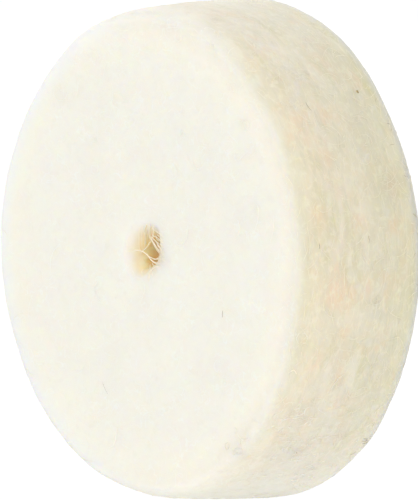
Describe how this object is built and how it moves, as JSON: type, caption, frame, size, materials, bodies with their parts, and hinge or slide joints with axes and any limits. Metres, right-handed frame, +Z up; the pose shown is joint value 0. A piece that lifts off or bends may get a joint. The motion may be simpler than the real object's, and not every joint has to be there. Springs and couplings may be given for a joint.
{
  "type": "felt polishing wheel",
  "caption": "Small disc of hard pressed wool felt with soft edges and a plain centre hole, spun on a rotary tool's mandrel to polish stone and metal.",
  "frame": {"origin": "centre of the wheel: on the axis of the hole, midway between the two faces", "axes": "+Y along the spin axis, from the front face to the back face; +Z up, with the spin axis level, as a mandrel holds the wheel; the front face looks towards -Y"},
  "size_m": [0.0254, 0.0074, 0.0254],
  "materials": {
    "wool_felt": "matte"
  },
  "bodies": {
    "root": {"felt_wheel": "wool_felt"}
  },
  "joints": []
}
